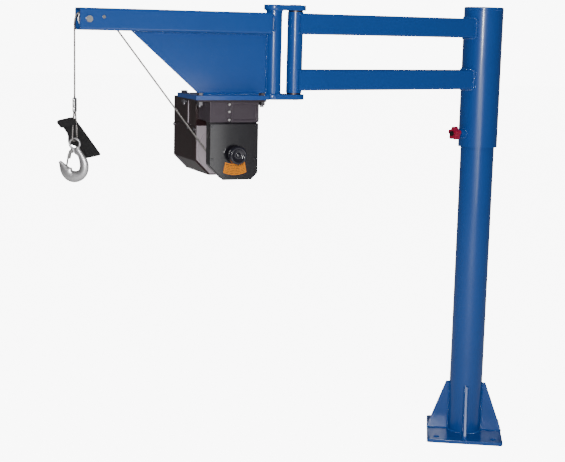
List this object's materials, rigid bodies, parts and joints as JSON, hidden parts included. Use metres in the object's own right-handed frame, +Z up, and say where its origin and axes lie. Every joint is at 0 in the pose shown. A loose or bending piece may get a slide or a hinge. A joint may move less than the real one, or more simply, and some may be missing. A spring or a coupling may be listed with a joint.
{
  "type": "articulated jib crane with electric winch",
  "caption": "Floor-mounted swinging jib crane: bolted post, elbow link and boom, with an electric rope winch, tip sheave and eye hook.",
  "frame": {"origin": "on the floor at the post's axis, the centre of the base plate's underside and of its anchor bolt pattern", "axes": "+Z up along the post, X and Y along the base plate's sides; the boom points to -X and -Y as stored"},
  "size_m": [1.3689, 0.9743, 1.489],
  "materials": {
    "blue_paint": "gloss",
    "winch_black": "satin",
    "black_plastic": "matte",
    "red_plastic": "gloss",
    "zinc_steel": "zinc plated",
    "bare_steel": "machined",
    "bronze": "machined",
    "rope_steel": "stranded",
    "aluminium": "pressed",
    "black_rubber": "matte",
    "label_film": "printed"
  },
  "bodies": {
    "post": {"base_plate": "blue_paint", "gussets": "blue_paint", "post_tube": "blue_paint", "post_cap": "blue_paint", "thrust_washer": "bronze"},
    "link": {"sleeve_tube": "blue_paint", "sleeve_cap": "blue_paint", "sleeve_bushes": "bronze", "lock_boss": "blue_paint", "link_upper_tube": "blue_paint", "link_lower_tube": "blue_paint", "knuckle_pipe": "blue_paint", "knuckle_bushes": "bronze"},
    "lock_screw": {"lock_stud": "zinc_steel"},
    "lock_handle": {"lock_knob": "red_plastic", "knob_cap": "black_plastic"},
    "boom": {"hinge_bottom_plate": "blue_paint", "hinge_top_plate": "blue_paint", "elbow_pin": "bare_steel", "hinge_post": "blue_paint", "boom_tube": "blue_paint", "web_plate": "blue_paint", "winch_plate": "blue_paint", "winch_bed": "winch_black", "winch_bolts": "zinc_steel", "winch_nuts": "zinc_steel", "winch_frame": "winch_black", "motor_saddle": "winch_black", "end_frame": "winch_black", "motor_housing": "winch_black", "cable_gland": "black_plastic", "gear_case": "winch_black", "gear_cover": "winch_black", "warning_label": "label_film", "drum_bearings": "bare_steel", "ring_gear": "bare_steel", "motor_stator": "bare_steel", "sheave_bolt": "zinc_steel", "sheave_spacers": "bare_steel", "idler_pin": "bare_steel", "rope_run": "rope_steel"},
    "drum": {"drum_spool": "zinc_steel", "rope_wraps": "rope_steel", "planet_carrier": "bare_steel"},
    "planet_1": {"planet_gear_1": "bare_steel"},
    "planet_2": {"planet_gear_2": "bare_steel"},
    "planet_3": {"planet_gear_3": "bare_steel"},
    "drive": {"drive_shaft": "bare_steel", "motor_rotor": "bare_steel"},
    "clutch": {"clutch_knob": "black_plastic"},
    "sheave": {"tip_sheave": "bare_steel"},
    "idler": {"idler_roller": "bare_steel"},
    "hook_block": {"ferrule": "aluminium", "rope_eye": "rope_steel", "rope_fall": "rope_steel"},
    "hook": {"hook_forging": "zinc_steel", "latch_pin": "zinc_steel"},
    "latch": {"hook_latch": "zinc_steel"},
    "strap": {"hand_strap": "black_rubber"}
  },
  "joints": [
    {"name": "sleeve_swing", "type": "hinge", "parent": "post", "child": "link", "pos_m": [0, 0, 1.25], "axis": [0, 0, 1], "continuous": true},
    {"name": "elbow_swing", "type": "hinge", "parent": "link", "child": "boom", "pos_m": [-0.59063, -0.47828, 1.33], "axis": [0, 0, 1], "range_deg": [-112, 132]},
    {"name": "lock_screw_travel", "type": "slide", "parent": "link", "child": "lock_screw", "axis": [-0.7771, -0.6293, 0], "range_m": [0, 0.006]},
    {"name": "lock_knob_turn", "type": "hinge", "parent": "lock_screw", "child": "lock_handle", "pos_m": [-0.07772, -0.06293, 1.066], "axis": [-0.7771, -0.6293, 0], "range_deg": [-2, 1082]},
    {"name": "hook_lift", "type": "slide", "parent": "boom", "child": "hook_block", "axis": [0, 0, 1], "range_m": [-0.9, 0.12], "deforming": ["rope_fall"]},
    {"name": "drum_spin", "type": "hinge", "parent": "boom", "child": "drum", "pos_m": [-0.78392, -0.58543, 1.028], "axis": [0.4848, -0.8746, 0], "range_deg": [-1120.6, 151.1]},
    {"name": "drive_spin", "type": "hinge", "parent": "boom", "child": "drive", "pos_m": [-0.78392, -0.58543, 1.028], "axis": [0.4848, -0.8746, 0], "range_deg": [-5594.9, 747.7]},
    {"name": "tip_sheave_spin", "type": "hinge", "parent": "boom", "child": "sheave", "pos_m": [-1.16001, -0.7939, 1.41675], "axis": [0.4848, -0.8746, 0], "range_deg": [-313.1, 2335.3]},
    {"name": "idler_spin", "type": "hinge", "parent": "boom", "child": "idler", "pos_m": [-1.1224, -0.77305, 1.42375], "axis": [0.4848, -0.8746, 0], "range_deg": [-457.3, 3417]},
    {"name": "clutch_turn", "type": "hinge", "parent": "boom", "child": "clutch", "pos_m": [-0.73544, -0.67289, 1.028], "axis": [0.4848, -0.8746, 0], "range_deg": [0, 90]},
    {"name": "hook_swing", "type": "hinge", "parent": "hook_block", "child": "hook", "pos_m": [-1.19062, -0.81086, 1.074], "axis": [0, 1, 0], "range_deg": [-12, 12]},
    {"name": "latch_pivot", "type": "hinge", "parent": "hook", "child": "latch", "pos_m": [-1.19962, -0.81086, 1.037], "axis": [0, 1, 0], "range_deg": [-32, 0], "stiffness_Nm_per_rad": 0.03, "springref_deg": 11.46},
    {"name": "strap_swing", "type": "hinge", "parent": "hook_block", "child": "strap", "pos_m": [-1.20962, -0.79686, 1.108], "axis": [0, 1, 0], "range_deg": [-10, 25]},
    {"name": "planet_1_spin", "type": "hinge", "parent": "drum", "child": "planet_1", "pos_m": [-0.75483, -0.6379, 1.058], "axis": [0.4848, -0.8746, 0], "range_deg": [-399.7, 2984.9]},
    {"name": "planet_2_spin", "type": "hinge", "parent": "drum", "child": "planet_2", "pos_m": [-0.73211, -0.62531, 1.013], "axis": [0.4848, -0.8746, 0], "range_deg": [-399.7, 2984.9]},
    {"name": "planet_3_spin", "type": "hinge", "parent": "drum", "child": "planet_3", "pos_m": [-0.77756, -0.6505, 1.013], "axis": [0.4848, -0.8746, 0], "range_deg": [-399.7, 2984.9]}
  ],
  "couplings": [
    {"joint": "lock_knob_turn", "follows": "lock_screw_travel", "rad_per_m": 3141.6},
    {"joint": "drum_spin", "follows": "hook_lift", "rad_per_m": 21.692},
    {"joint": "drive_spin", "follows": "hook_lift", "rad_per_m": 108.46},
    {"joint": "tip_sheave_spin", "follows": "hook_lift", "rad_per_m": -45.249},
    {"joint": "idler_spin", "follows": "hook_lift", "rad_per_m": -66.225},
    {"joint": "planet_1_spin", "follows": "hook_lift", "rad_per_m": -57.845},
    {"joint": "planet_2_spin", "follows": "hook_lift", "rad_per_m": -57.845},
    {"joint": "planet_3_spin", "follows": "hook_lift", "rad_per_m": -57.845}
  ]
}
